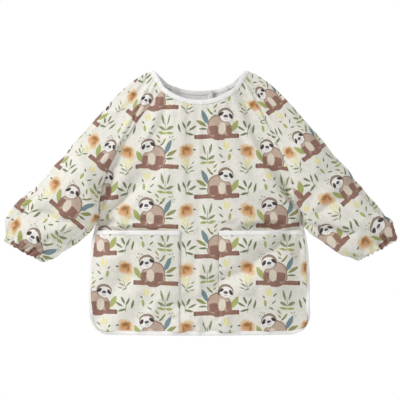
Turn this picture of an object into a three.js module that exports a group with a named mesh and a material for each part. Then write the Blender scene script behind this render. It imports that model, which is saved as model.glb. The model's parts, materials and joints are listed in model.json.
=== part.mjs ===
// Child's long-sleeved art smock, standing open as it hangs from its neck opening.
// Millimetres, +Z up, the wearer faces -Y, +X is the wearer's left.
// The origin is the centre of the neck opening, on the plane between front and back.
import * as THREE from 'three';

// ---- Driving dimensions ----

// Fabric, binding and the clearances between pieces that are sewn together
const fabric = 1.0;
const seamGap = 0.8;
const foldGap = 0.9;
const bindingWidth = 8;
const bindingThickness = 0.6;
const bindingGap = 0.5;
const bindingNotch = 6;

// Neck opening
const neckHalf = 88;
const neckHeight = 21;
const frontNeckDrop = 38;
const backNeckDrop = 17;
const neckRoundness = 0.625;

// Body outline and depth
const hemHalf = 211;
const hemDrop = 484;
const cornerRadius = 38;
const sideFlare = 80;
const chestDepth = 48;
const neckDepth = 28;
const sideDepth = 16;

// Raglan seams: their ends on the neckline and at the underarm
const frontSeamX = 68;
const backSeamX = 62;
const armpit = new THREE.Vector2(196, -268);
const frontSeamDepth = 18;
const backSeamDepth = 14;
const frontSeamBulge = 16;
const backSeamBulge = 8;

// Sleeves
const sleeveDrop = 50;
const sleeveWidth = 138.5;
const sleeveHalfDepth = 34;
const sleeveLength = 137;
const cuffWidth = 77;
const cuffHalfDepth = 20;
const cuffDrop = 62;
const cuffLift = 5;
const bendReach = 31;
const bendUnderarm = 26;

// Folded sleeve end with its elastic
const casingDepth = 15;
const elasticWidth = 9;
const elasticThickness = 1.0;
const cuffGap = 0.55;

// Back flaps
const overlap = 25;
const flapLayer = 5;
const backDrop = 256;
const flatCentre = 32;
const backNeckDepth = 26;
const backWaistDepth = 40;
const foldInset = 12;
const foldLowDepth = 4;

// Hook-and-loop patches
const patchHalfWidth = 15;
const patchHeight = 30;
const patchThickness = 1.5;
const patchInset = 26;

// Pockets
const pocketTop = 287;
const pocketInnerX = 37;
const pocketGape = 13;
const pocketLift = 2.2;
const pocketGap = 0.8;

// ---- Small helpers ----

const v2 = (x, y) => new THREE.Vector2(x, y);
const v3 = (x, y, z) => new THREE.Vector3(x, y, z);
const lerp = THREE.MathUtils.lerp;
const ease = THREE.MathUtils.smoothstep;
const steps = (n) => Array.from({ length: n + 1 }, (_, i) => i / n);

// A grid of quads over rows of points. A wrapped grid joins its last column to its first.
function gridQuads(rows, columns, wrapped = false) {
  const quads = [];
  const last = wrapped ? columns : columns - 1;
  for (let r = 0; r < rows - 1; r++) {
    for (let c = 0; c < last; c++) {
      const next = (c + 1) % columns;
      quads.push([r * columns + c, r * columns + next, (r + 1) * columns + next, (r + 1) * columns + c]);
    }
  }
  return quads;
}

// Vertex normals of a sheet of quads, weighted by area.
function sheetNormals(points, quads) {
  const normals = points.map(() => v3(0, 0, 0));
  for (const [a, b, c, d] of quads) {
    const across = points[c].clone().sub(points[a]);
    const face = across.cross(points[d].clone().sub(points[b]));
    for (const i of [a, b, c, d]) normals[i].add(face);
  }
  return normals.map((n) => n.normalize());
}

function toGeometry(points, quads) {
  const geometry = new THREE.BufferGeometry();
  const positions = points.flatMap((p) => [p.x, p.y, p.z]);
  geometry.setAttribute('position', new THREE.Float32BufferAttribute(positions, 3));
  geometry.setIndex(quads.flatMap(([a, b, c, d]) => [a, b, c, a, c, d]));
  geometry.computeVertexNormals();
  return geometry;
}

// A sheet turned into a closed solid: two faces, and a wall along every open edge.
function shell(sheet, thickness = fabric, offset = 0) {
  const { points, quads, normals } = sheet;
  const count = points.length;
  const face = (side) =>
    points.map((p, i) => p.clone().addScaledVector(normals[i], offset + (side * thickness) / 2));
  const all = [...face(1), ...face(-1)];
  const open = new Map();
  for (const quad of quads) {
    quad.forEach((a, k) => {
      const b = quad[(k + 1) % 4];
      if (!open.delete(`${b}-${a}`)) open.set(`${a}-${b}`, [a, b]);
    });
  }
  const under = quads.map(([a, b, c, d]) => [d + count, c + count, b + count, a + count]);
  const walls = [...open.values()].map(([a, b]) => [b, a, a + count, b + count]);
  return toGeometry(all, [...quads, ...under, ...walls]);
}

// ---- Outlines in the X-Z plane, for the wearer's left half ----

const neckline = (x, drop) =>
  neckHeight - (neckHeight + drop) * Math.max(0, 1 - (x / neckHalf) ** 2) ** neckRoundness;

// A raglan seam, from the neckline to the underarm. It runs out over the shoulder, then turns down.
function raglanSeam(topX, drop) {
  const top = v2(topX, neckline(topX, drop));
  const over = v2(top.x + (armpit.x - top.x) * 0.85, lerp(top.y, armpit.y, 0.46));
  const down = v2(armpit.x - 8, lerp(top.y, armpit.y, 0.59));
  return new THREE.CubicBezierCurve(top, over, down, armpit);
}

const frontSeam = raglanSeam(frontSeamX, frontNeckDrop);
const backSeam = raglanSeam(backSeamX, backNeckDrop);

// How far a seam stands off the middle plane: both seams close to it at the underarm.
const seamDepth = (t, top, bulge) => top * (1 - t ** 3) + bulge * Math.sin(Math.PI * t);
const frontDepthAt = (t) => seamDepth(t, frontSeamDepth, frontSeamBulge);
const backDepthAt = (t) => seamDepth(t, backSeamDepth, backSeamBulge);

// The seam parameter at a height, by bisection, because the seam always falls.
function seamParameter(seam, z) {
  let low = 0;
  let high = 1;
  for (let i = 0; i < 40; i++) {
    const middle = (low + high) / 2;
    if (seam.getPoint(middle).y > z) low = middle;
    else high = middle;
  }
  return (low + high) / 2;
}

// The free side edge below the underarm flares out to the hem's width.
const sideX = (z) => lerp(armpit.x, hemHalf, 1 - Math.exp((z - armpit.y) / (sideFlare * 0.55)));

// ---- Sleeve frame ----

const dropAngle = THREE.MathUtils.degToRad(sleeveDrop);
const along = v2(Math.cos(dropAngle), -Math.sin(dropAngle));
const across = v2(Math.sin(dropAngle), Math.cos(dropAngle));
const armhole = armpit.clone().addScaledVector(across, sleeveWidth / 2);
const shoulderFold = armhole.clone().addScaledVector(across, sleeveWidth / 2);
const headEnd = shoulderFold.clone().addScaledVector(along, -bendReach);
const tubeTop = shoulderFold.clone().addScaledVector(along, bendReach);
const tubeUnder = armpit.clone().addScaledVector(along, bendUnderarm);

const cuffAngle = THREE.MathUtils.degToRad(cuffDrop);
const cuffAcross = v2(Math.sin(cuffAngle), Math.cos(cuffAngle));
const cuffCentre = armhole.clone()
  .addScaledVector(along, sleeveLength)
  .addScaledVector(across, cuffLift);
const cuffOut = cuffCentre.clone().addScaledVector(cuffAcross, cuffWidth / 2);
const cuffIn = cuffCentre.clone().addScaledVector(cuffAcross, -cuffWidth / 2);

const neckPoint = v2(neckHalf, neckHeight);
const headEdge = new THREE.CubicBezierCurve(
  neckPoint,
  v2(lerp(neckPoint.x, headEnd.x, 0.32), neckPoint.y - 4),
  headEnd.clone().addScaledVector(v2(0.68, -0.73), -(headEnd.x - neckPoint.x) * 0.41),
  headEnd,
);
const tubeOuter = new THREE.QuadraticBezierCurve(
  tubeTop,
  v2(cuffOut.x - 1, lerp(tubeTop.y, cuffOut.y, 0.42)),
  cuffOut,
);
const tubeInner = new THREE.QuadraticBezierCurve(
  tubeUnder,
  v2(lerp(tubeUnder.x, cuffIn.x, 0.43), lerp(tubeUnder.y, cuffIn.y, 0.6)),
  cuffIn,
);

// ---- Sheets ----

// Moves each point of a closed outline inwards, along the bisector of its two sides.
function insetOutline(outline, distance) {
  const count = outline.length;
  return outline.map((p, i) => {
    const before = p.clone().sub(outline[(i + count - 1) % count]).normalize();
    const after = outline[(i + 1) % count].clone().sub(p).normalize();
    const inward = v2(-(before.y + after.y), before.x + after.x).normalize();
    const spread = Math.max(0.6, Math.sqrt((1 + before.dot(after)) / 2));
    return p.clone().addScaledVector(inward, distance / spread);
  });
}

// A four-sided panel: its outline, a margin as wide as the binding, and a blended field inside.
// The sides run top: left to right, right: downwards, bottom: left to right, left: downwards.
function panel(sides, lift, margin = bindingWidth) {
  const { top, right, bottom, left } = sides;
  const wide = top.length - 1;
  const high = left.length - 1;
  const outline = [
    ...left.slice(0, -1),
    ...bottom.slice(0, -1),
    ...[...right].reverse().slice(0, -1),
    ...[...top].reverse().slice(0, -1),
  ];
  const inner = insetOutline(outline, margin);
  const at = (k) => inner[(k + inner.length) % inner.length];
  const edges = {
    left: steps(high).map((_, j) => at(j)),
    bottom: steps(wide).map((_, i) => at(high + i)),
    right: steps(high).map((_, j) => at(2 * high + wide - j)),
    top: steps(wide).map((_, i) => at(2 * (high + wide) - i)),
  };
  const flat = [];
  for (let j = 0; j <= high; j++) {
    for (let i = 0; i <= wide; i++) {
      const u = i / wide;
      const v = j / high;
      const rows = edges.top[i].clone().lerp(edges.bottom[i], v);
      const columns = edges.left[j].clone().lerp(edges.right[j], u);
      const upper = edges.top[0].clone().lerp(edges.top[wide], u);
      const lower = edges.bottom[0].clone().lerp(edges.bottom[wide], u);
      flat.push(rows.add(columns).sub(upper.lerp(lower, v)));
    }
  }
  const quads = gridQuads(high + 1, wide + 1).map((quad) => [...quad].reverse());
  const field = (i, j) => j * (wide + 1) + i;
  const rim = [
    ...steps(high).slice(0, -1).map((_, j) => field(0, j)),
    ...steps(wide).slice(0, -1).map((_, i) => field(i, high)),
    ...steps(high).slice(0, -1).map((_, j) => field(wide, high - j)),
    ...steps(wide).slice(0, -1).map((_, i) => field(wide - i, 0)),
  ];
  const first = flat.length;
  outline.forEach((p, k) => {
    const next = (k + 1) % outline.length;
    flat.push(p);
    quads.push([first + k, first + next, rim[next], rim[k]]);
  });
  const points = flat.map((p) => lift(p.x, p.y));
  const edge = (from, to) => {
    const list = [];
    for (let k = from; k <= to; k++) {
      const n = (k + outline.length) % outline.length;
      list.push({ edge: first + n, inset: rim[n] });
    }
    return list;
  };
  return { points, quads, normals: sheetNormals(points, quads), wide, high, edge };
}

// Stations for a binding: the edge of the sheet, the line the binding reaches to, and the normals.
const stations = (sheet, list) => list.map(({ edge, inset }) => ({
  edge: sheet.points[edge],
  inset: sheet.points[inset],
  edgeNormal: sheet.normals[edge],
  insetNormal: sheet.normals[inset],
}));

// A folded strip that wraps the edge of a sheet: a U section carried along the stations.
function binding(list) {
  const near = fabric / 2 + bindingGap;
  const far = near + bindingThickness;
  const points = [];
  for (const { edge, inset, edgeNormal, insetNormal } of list) {
    const out = edge.clone().sub(inset);
    out.addScaledVector(edgeNormal, -out.dot(edgeNormal)).normalize();
    const rim = (height, reach) =>
      edge.clone().addScaledVector(edgeNormal, height).addScaledVector(out, reach);
    const wing = (height) => inset.clone().addScaledVector(insetNormal, height);
    const fold = bindingGap + bindingThickness;
    points.push(wing(far), rim(far, fold), rim(-far, fold), wing(-far));
    points.push(wing(-near), rim(-near, bindingGap), rim(near, bindingGap), wing(near));
  }
  const section = 8;
  const quads = gridQuads(list.length, section, true);
  const cap = [[0, 1, 6, 7], [1, 2, 5, 6], [2, 3, 4, 5]];
  const end = (list.length - 1) * section;
  quads.push(...cap.map((quad) => [...quad].reverse()));
  quads.push(...cap.map((quad) => quad.map((i) => i + end)));
  return outwards(toGeometry(points, quads));
}

// Turns a closed geometry so that its faces point out.
function outwards(geometry) {
  const p = geometry.attributes.position;
  const index = geometry.index.array;
  const corner = (i) => v3(p.getX(i), p.getY(i), p.getZ(i));
  let volume = 0;
  for (let i = 0; i < index.length; i += 3) {
    volume += corner(index[i]).dot(corner(index[i + 1]).cross(corner(index[i + 2])));
  }
  if (volume < 0) {
    for (let i = 0; i < index.length; i += 3) {
      [index[i], index[i + 1]] = [index[i + 1], index[i]];
    }
    geometry.computeVertexNormals();
  }
  return geometry;
}

// The left half's geometry reflected to the wearer's right.
function mirrored(geometry) {
  const copy = geometry.clone();
  copy.scale(-1, 1, 1);
  return outwards(copy);
}

// ---- Front panel ----

const frontCentreDepth = (z) => lerp(chestDepth, neckDepth, ease(z, -190, -frontNeckDrop));

function frontDepth(x, z) {
  const below = z < armpit.y;
  const t = seamParameter(frontSeam, z);
  const edgeDepth = below ? sideDepth * ease(-z, -armpit.y, -armpit.y + sideFlare) : frontDepthAt(t);
  const half = below ? sideX(z) : frontSeam.getPoint(t).x;
  const share = Math.min(1, (x / half) ** 2);
  return lerp(frontCentreDepth(z), edgeDepth, share);
}

const onFront = (x, z) => v3(x, -frontDepth(x, z), z);

// The side edge and half of the rounded hem corner, at a distance inside the outline.
function sideLine(topZ, inset, cells, cornerCells) {
  const turn = -hemDrop + cornerRadius;
  const straight = steps(cells).map((t) => {
    const z = lerp(topZ, turn, t);
    return v2(sideX(z) - inset, z);
  });
  return [...straight, ...cornerArc(inset, 0, cornerCells).slice(1)];
}

// One half of the hem corner: half 0 meets the side, half 1 meets the hem.
function cornerArc(inset, half, cells) {
  const turn = -hemDrop + cornerRadius;
  const radius = cornerRadius - inset;
  const centreX = sideX(turn) - cornerRadius;
  return steps(cells).map((t) => {
    const angle = ((half + t) * Math.PI) / 4;
    return v2(centreX + radius * Math.cos(angle), turn - radius * Math.sin(angle));
  });
}

const flip = (list) => list.map((p) => v2(-p.x, p.y));
const cornerCells = 2;
const sideCells = 6;
const seamCells = 8;

function frontSheet() {
  const seam = steps(seamCells).map((t) => frontSeam.getPoint(t));
  const sewn = seam.map((p, i) => p.clone().add(v2(-seamGap / 2, i ? 0 : -seamGap / 4)));
  const side = [...sewn, ...sideLine(armpit.y - bindingNotch, 0, sideCells, cornerCells)];
  const hemEnd = cornerArc(0, 1, cornerCells);
  const hemX = hemEnd[cornerCells].x;
  const hemCells = 8;
  const hem = steps(hemCells).map((t) => v2(lerp(-hemX, hemX, t), -hemDrop));
  const bottom = [...flip(hemEnd).slice(0, -1), ...hem, ...[...hemEnd].reverse().slice(1)];
  const neckX = sewn[0].x;
  const top = steps(hemCells + 2 * cornerCells).map((t) => {
    const x = neckX * Math.sin((t - 0.5) * Math.PI);
    return v2(x, neckline(x, frontNeckDrop));
  });
  return panel({ top, bottom, left: flip(side), right: side }, onFront);
}

// ---- Sleeve ----

// A closed ring of the sleeve between an inner and an outer point, as a flattened round section.
function ringPoint(inner, outer, halfDepth, angle, inset = 0) {
  const reach = outer.clone().sub(inner);
  const half = reach.length() / 2;
  const middle = inner.clone().add(outer).multiplyScalar(0.5);
  middle.addScaledVector(reach.normalize(), (half - inset) * Math.cos(angle));
  return v3(middle.x, -(halfDepth - inset) * Math.sin(angle), middle.y);
}

const ringCells = 16;
const ringAngles = steps(ringCells).slice(0, -1).map((t) => t * 2 * Math.PI);

function tubeSheet(sections) {
  const points = sections.flatMap(({ inner, outer, depth, inset }) =>
    ringAngles.map((angle) => ringPoint(inner, outer, depth, angle, inset)));
  const quads = gridQuads(sections.length, ringCells, true);
  return { points, quads, normals: sheetNormals(points, quads) };
}

const tubeDepth = (s) => lerp(sleeveHalfDepth, cuffHalfDepth, ease(s, 0.45, 1));
const tubeSection = (s, inset = 0) => ({
  inner: tubeInner.getPoint(s),
  outer: tubeOuter.getPoint(s),
  depth: tubeDepth(s),
  inset,
});

// Stops along the tube: even ones down the arm, then those that the cuff's casing and elastic share.
const tubeRun = tubeInner.getLength() * 0.5 + tubeOuter.getLength() * 0.5;
const cuffStops = [casingDepth, elasticWidth, elasticWidth / 2, 0].map((d) => 1 - d / tubeRun);
const tubeCells = 6;
const tubeStops = [...steps(tubeCells).slice(0, -1).map((t) => t * cuffStops[0]), ...cuffStops];
const sleeveTube = () => tubeSheet(tubeStops.map((s) => tubeSection(s)));

// The soft ring at the armhole, which folds when the sleeve swings.
function bendSheet() {
  const start = { inner: armpit, outer: headEnd, depth: sleeveHalfDepth };
  const end = tubeSection(0);
  const apart = (t) => ({
    inner: start.inner.clone().lerp(end.inner, t),
    outer: start.outer.clone().lerp(end.outer, t),
    depth: sleeveHalfDepth,
  });
  const reach = start.inner.distanceTo(end.inner);
  const share = seamGap / reach;
  return tubeSheet([share, 0.5, 1 - share].map(apart));
}

// The raglan head: front and back in one piece, folded at the shoulder.
const headHalf = 8;
const headCells = 9;

function headPoint(s, turn) {
  const front = turn < 0;
  const seam = front ? frontSeam : backSeam;
  const depth = front ? frontDepthAt(s) : backDepthAt(s);
  const round = sleeveHalfDepth * ease(s, 0.3, 1);
  const outer = headEdge.getPoint(s);
  const inner = seam.getPoint(s);
  const width = inner.distanceTo(outer);
  const share = Math.min(Math.sin((Math.abs(turn) * Math.PI) / 2) ** 2, 1 - seamGap / 2 / width);
  const angle = 2 * Math.asin(Math.sqrt(share));
  const off = depth * Math.sin(angle / 2) + round * Math.sin(angle);
  const place = outer.clone().lerp(inner, share);
  return v3(place.x, front ? -off : off, place.y);
}

function headSheet() {
  const turns = steps(2 * headHalf).map((t) => 2 * t - 1);
  const margin = (turn) => {
    const probe = 0.01;
    return (bindingWidth * probe) / headPoint(0, turn).distanceTo(headPoint(probe, turn));
  };
  const rows = [() => 0, margin, ...steps(headCells).slice(1).map((s) => () => s)];
  const points = rows.flatMap((row) => turns.map((turn) => headPoint(row(turn), turn)));
  const quads = gridQuads(rows.length, turns.length);
  const edge = turns.map((_, i) => ({ edge: i, inset: i + turns.length }));
  return { points, quads, normals: sheetNormals(points, quads), edge };
}

// ---- Back ----

// The straight line that a back flap folds about, from the neckline to the underarm.
const foldTopX = backSeamX - foldInset;
const foldTop = v3(foldTopX, backSeamDepth, neckline(foldTopX, backNeckDrop));
const foldLow = v3(armpit.x - foldInset, foldLowDepth, -backDrop);
const foldAt = (t) => foldTop.clone().lerp(foldLow, t);

const backCentreDepth = (z) =>
  THREE.MathUtils.mapLinear(z, -backNeckDrop, -backDrop, backNeckDepth, backWaistDepth);

function onBack(x, z) {
  const t = THREE.MathUtils.clamp((z - foldTop.z) / (foldLow.z - foldTop.z), 0, 1);
  const fold = foldAt(t);
  const share = Math.max(0, Math.abs(x) - flatCentre) / (fold.x - flatCentre);
  return v3(x, lerp(backCentreDepth(z), fold.y, Math.min(1, share) ** 2), z);
}

// The inner flap lies a layer below the outer one where the two cross.
function onInnerBack(x, z) {
  const point = onBack(x, z);
  point.y -= flapLayer * ease(-x, -flatCentre * 2.4, -flatCentre);
  return point;
}

const flapWide = 7;
const flapHigh = 7;

function flapSheet(lift) {
  const clear = foldGap / 2;
  const freeTop = neckline(overlap, backNeckDrop);
  const left = steps(flapHigh).map((t) => v2(-overlap, lerp(freeTop, -backDrop, t)));
  const right = steps(flapHigh).map((t) => v2(foldAt(t).x - clear * 1.15, foldAt(t).z));
  const span = right[0].x + overlap;
  const low = right[flapHigh].x + overlap;
  const upTo = (width) => [...steps(flapWide - 1).map((t) => t * (1 - bindingNotch / width)), 1];
  const top = upTo(span).map((t) => {
    const x = t * span - overlap;
    return v2(x, neckline(x, backNeckDrop));
  });
  const bottom = upTo(low).map((t) => v2(t * low - overlap, -backDrop));
  return panel({ top, bottom, left, right }, lift);
}

// The strip of the back that stays on the sleeve head, between the fold line and the seam.
const stripCells = 9;
const underarmStop = 0.97;

function backStripSheet() {
  const rows = steps(stripCells).map((share) => {
    const t = share * underarmStop;
    const fold = foldAt(t);
    const seam = backSeam.getPoint(t);
    const sewn = v3(seam.x, backDepthAt(t), seam.y);
    const width = fold.distanceTo(sewn);
    const from = (foldGap / 2) / width;
    const to = 1 - seamGap / 2 / width;
    return [from, (from + to) / 2, to].map((part) => fold.clone().lerp(sewn, part));
  });
  const points = rows.flat();
  const quads = gridQuads(rows.length, 3);
  return { points, quads, normals: sheetNormals(points, quads) };
}

// A patch of hook or loop tape on the flat centre of a flap, on one of its faces.
function patchSolid(lift, topZ, side) {
  const columns = [-patchHalfWidth, patchHalfWidth];
  const points = [topZ, topZ - patchHeight].flatMap((z) => columns.map((x) => lift(x, z)));
  const quads = [[0, 1, 3, 2]];
  const sheet = { points, quads, normals: sheetNormals(points, quads) };
  const gap = (flapLayer - fabric - 2 * patchThickness) / 3;
  const out = Math.sign(sheet.normals[0].y) * side;
  return outwards(shell(sheet, patchThickness, out * (fabric / 2 + gap + patchThickness / 2)));
}

// ---- Pocket ----

const pocketCells = 6;
const pocketSideCells = 4;

function pocketSheet() {
  const inset = bindingWidth + pocketGap;
  const side = sideLine(-pocketTop, inset, pocketSideCells, cornerCells);
  const corner = [...cornerArc(inset, 1, cornerCells)].reverse();
  const hemX = corner[0].x;
  const hemCells = pocketCells - cornerCells;
  const bottomZ = -hemDrop + inset;
  const hem = steps(hemCells).map((t) => v2(lerp(pocketInnerX, hemX, t), bottomZ));
  const bottom = [...hem, ...corner.slice(1)];
  const left = steps(side.length - 1).map((t) => v2(pocketInnerX, lerp(-pocketTop, bottomZ, t)));
  const top = steps(pocketCells).map((t) => v2(lerp(pocketInnerX, side[0].x, t), -pocketTop));
  const lift = (x, z) => {
    const u = (x - pocketInnerX) / (sideX(z) - inset - pocketInnerX);
    const v = (z + hemDrop - inset) / (hemDrop - inset - pocketTop);
    const swell = Math.sin(Math.PI * THREE.MathUtils.clamp(u, 0, 1)) * ease(v, 0, 1);
    const off = fabric + pocketGap + pocketLift * Math.max(0, v) + pocketGape * swell;
    return v3(x, -frontDepth(x, z) - off, z);
  };
  return panel({ top, bottom, left, right: side }, lift);
}

// ---- Assembly ----

const material = (color, roughness) => new THREE.MeshStandardMaterial({
  color,
  roughness,
  metalness: 0,
});
const printed = () => material(0xebe8de, 0.55);
const white = () => material(0xf6f6f4, 0.65);
const elastic = () => material(0xe8e8e6, 0.8);
const tape = () => material(0xdddddd, 0.9);

const smock = new THREE.Group();
smock.name = 'art_smock';

function add(name, geometry, look) {
  const mesh = new THREE.Mesh(geometry, look);
  mesh.name = name;
  smock.add(mesh);
}

// Adds a piece to both sides of the smock.
function addPair(name, geometry, look) {
  add(`left_${name}`, geometry, look());
  add(`right_${name}`, mirrored(geometry), look());
}

const front = frontSheet();
add('front_panel', outwards(shell(front)), printed());

const head = headSheet();
addPair('raglan', outwards(shell(head)), printed);
addPair('sleeve_bend', outwards(shell(bendSheet())), printed);
addPair('sleeve_tube', outwards(shell(sleeveTube())), printed);

// The cuff's elastic and the folded-in end of the sleeve, one inside the other
const cuffRing = (stops, inset) => tubeSheet(stops.map((s) => tubeSection(s, inset)));
const elasticInset = fabric / 2 + cuffGap + elasticThickness / 2;
const casingInset = elasticInset + elasticThickness / 2 + cuffGap + fabric / 2;
const elasticRing = cuffRing(cuffStops.slice(1), elasticInset);
addPair('cuff_elastic', outwards(shell(elasticRing, elasticThickness)), elastic);
addPair('cuff_casing', outwards(shell(cuffRing(cuffStops, casingInset))), printed);

addPair('back_strip', outwards(shell(backStripSheet())), printed);

// Back flaps: the wearer's left flap lies outside, the right one inside
const flaps = { left: onBack, right: onInnerBack };
for (const [name, lift] of Object.entries(flaps)) {
  const sheet = flapSheet(lift);
  const { wide, high } = sheet;
  const around = 2 * (wide + high);
  const neckEdge = stations(sheet, sheet.edge(around - wide + 1, around));
  const freeEdge = stations(sheet, sheet.edge(1, high + wide - 1));
  const place = name === 'left' ? (geometry) => geometry : mirrored;
  add(`${name}_back_flap`, place(outwards(shell(sheet))), printed());
  add(`${name}_back_neck_binding`, place(binding(neckEdge)), white());
  add(`${name}_back_edge_binding`, place(binding(freeEdge)), white());
}

const patchTops = {
  upper: -patchInset - backNeckDrop,
  lower: -backDrop + patchInset + patchHeight,
};
for (const [name, topZ] of Object.entries(patchTops)) {
  add(`${name}_hook_patch`, patchSolid(onBack, topZ, -1), tape());
  add(`${name}_loop_patch`, mirrored(patchSolid(onInnerBack, topZ, 1)), tape());
}

// Neck binding: over the right sleeve head, the front panel and the left sleeve head
const overHead = stations(head, head.edge);
const reflect = (p) => v3(-p.x, p.y, p.z);
const overRightHead = overHead.map((s) => ({
  edge: reflect(s.edge),
  inset: reflect(s.inset),
  edgeNormal: reflect(s.edgeNormal),
  insetNormal: reflect(s.insetNormal),
})).reverse();
const { wide: frontWide, high: frontHigh } = front;
const frontAround = 2 * (frontWide + frontHigh);
const overFront = stations(front, front.edge(frontAround - frontWide, frontAround)).reverse();
add('neck_binding', neckBinding(overRightHead, overFront, overHead), white());

// Joins the three runs of the neck edge with all normals on the same side.
function neckBinding(rightRun, frontRun, leftRun) {
  const outside = (station) => {
    const turn = Math.sign(station.edgeNormal.dot(v3(station.edge.x, station.edge.y, 0)));
    return {
      ...station,
      edgeNormal: station.edgeNormal.clone().multiplyScalar(turn),
      insetNormal: station.insetNormal.clone().multiplyScalar(turn),
    };
  };
  return binding([...rightRun, ...frontRun.slice(1, -1), ...leftRun].map(outside));
}

const hemStart = seamCells + 1;
const hemRun = stations(front, front.edge(hemStart, 2 * frontHigh + frontWide - hemStart));
add('hem_binding', binding(hemRun), white());

const pocket = pocketSheet();
addPair('pocket', outwards(shell(pocket)), printed);
const pocketAround = 2 * (pocket.wide + pocket.high);
const pocketEdge = stations(pocket, pocket.edge(pocketAround - pocket.wide, pocketAround));
addPair('pocket_binding', binding(pocketEdge), white);

export default smock;
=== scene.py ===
# Child's art smock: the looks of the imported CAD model, in metres, in the CAD model's own frame.
import json
import math

import bpy
import numpy as np
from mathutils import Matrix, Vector
from mathutils.bvhtree import BVHTree


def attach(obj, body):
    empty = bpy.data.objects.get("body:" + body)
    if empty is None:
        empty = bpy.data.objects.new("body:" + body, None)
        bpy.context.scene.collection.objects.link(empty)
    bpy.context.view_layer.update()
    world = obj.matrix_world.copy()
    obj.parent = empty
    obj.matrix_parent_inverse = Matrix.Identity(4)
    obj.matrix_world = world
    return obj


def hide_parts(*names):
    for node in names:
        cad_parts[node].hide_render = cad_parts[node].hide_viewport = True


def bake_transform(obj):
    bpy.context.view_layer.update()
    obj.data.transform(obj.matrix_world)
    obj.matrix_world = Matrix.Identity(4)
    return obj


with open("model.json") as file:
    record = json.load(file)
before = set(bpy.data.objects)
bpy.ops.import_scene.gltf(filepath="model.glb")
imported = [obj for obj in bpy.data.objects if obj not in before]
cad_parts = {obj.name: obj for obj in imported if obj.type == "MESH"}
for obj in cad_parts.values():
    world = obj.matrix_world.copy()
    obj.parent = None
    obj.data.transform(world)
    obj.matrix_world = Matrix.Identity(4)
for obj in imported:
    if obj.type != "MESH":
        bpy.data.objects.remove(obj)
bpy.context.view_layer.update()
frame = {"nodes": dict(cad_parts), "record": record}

RECORD = frame["record"]
JOINTS = {j["name"]: j for j in RECORD["behaviour"]["joints"]}
MOUNTS = {m["name"]: m for m in RECORD["mounts"]}

# ---- Sizes, in metres, as the CAD model has them ----

MM = 0.001
NECK_HALF = 88 * MM
NECK_HEIGHT = 21 * MM
FRONT_DROP = 38 * MM
BACK_DROP = 17 * MM
NECK_ROUND = 0.625
HEM_HALF = 211 * MM
HEM_Z = -484 * MM
CORNER_R = 38 * MM
SIDE_FLARE = 44 * MM
CHEST_DEPTH, NECK_DEPTH, SIDE_DEPTH = 48 * MM, 28 * MM, 16 * MM
FRONT_SEAM_X, BACK_SEAM_X = 68 * MM, 62 * MM
SEAM_DEPTHS = {"front": (18 * MM, 16 * MM), "back": (14 * MM, 8 * MM)}
ARMPIT = np.array([196, -268]) * MM
SLEEVE_HALF_DEPTH, CUFF_HALF_DEPTH = 34 * MM, 20 * MM
SLEEVE_WIDTH = 138.5 * MM
CUFF_WIDTH = 77 * MM
BEND_REACH, BEND_UNDERARM = 31 * MM, 26 * MM
BINDING = 8 * MM
OVERLAP = 25 * MM
FLAP_LAYER = 5 * MM
FLAP_LOW_Z = -256 * MM
FLAT_CENTRE = 32 * MM
BACK_CENTRE = (26 * MM, 40 * MM)
FOLD_INSET = 12 * MM
FOLD_LOW_DEPTH = 4 * MM
POCKET_TOP = -287 * MM
POCKET_INNER = 37 * MM

# ---- Small maths ----


def smooth(x, low, high):
    t = np.clip((x - low) / (high - low), 0, 1)
    return t * t * (3 - 2 * t)


def mix(a, b, t):
    return a + (b - a) * t


def cubic(p, t):
    t = np.asarray(t, float)[..., None]
    p = [np.asarray(q, float) for q in p]
    return (1 - t) ** 3 * p[0] + 3 * (1 - t) ** 2 * t * p[1] + 3 * (1 - t) * t**2 * p[2] + t**3 * p[3]


def quadratic(p, t):
    t = np.asarray(t, float)[..., None]
    p = [np.asarray(q, float) for q in p]
    return (1 - t) ** 2 * p[0] + 2 * (1 - t) * t * p[1] + t**2 * p[2]


def neckline(x, drop):
    """The neck opening's height at x; it dips by drop below the origin."""
    dip = np.maximum(0, 1 - (np.asarray(x) / NECK_HALF) ** 2) ** NECK_ROUND
    return NECK_HEIGHT - (NECK_HEIGHT + drop) * dip


# ---- Outlines of the wearer's left half, in X and Z ----


def raglan(top_x, drop):
    """A raglan seam's curve, from the neckline to the underarm."""
    top = np.array([top_x, float(neckline(top_x, drop))])
    over = [mix(top[0], ARMPIT[0], 0.85), mix(top[1], ARMPIT[1], 0.46)]
    down = [ARMPIT[0] - 8 * MM, mix(top[1], ARMPIT[1], 0.59)]
    return [top, over, down, ARMPIT]


SEAMS = {"front": raglan(FRONT_SEAM_X, FRONT_DROP), "back": raglan(BACK_SEAM_X, BACK_DROP)}


def seam_depth(side, t):
    top, bulge = SEAM_DEPTHS[side]
    return top * (1 - t**3) + bulge * np.sin(np.pi * t)


def side_x(z):
    return mix(ARMPIT[0], HEM_HALF, 1 - np.exp((z - ARMPIT[1]) / SIDE_FLARE))


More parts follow.
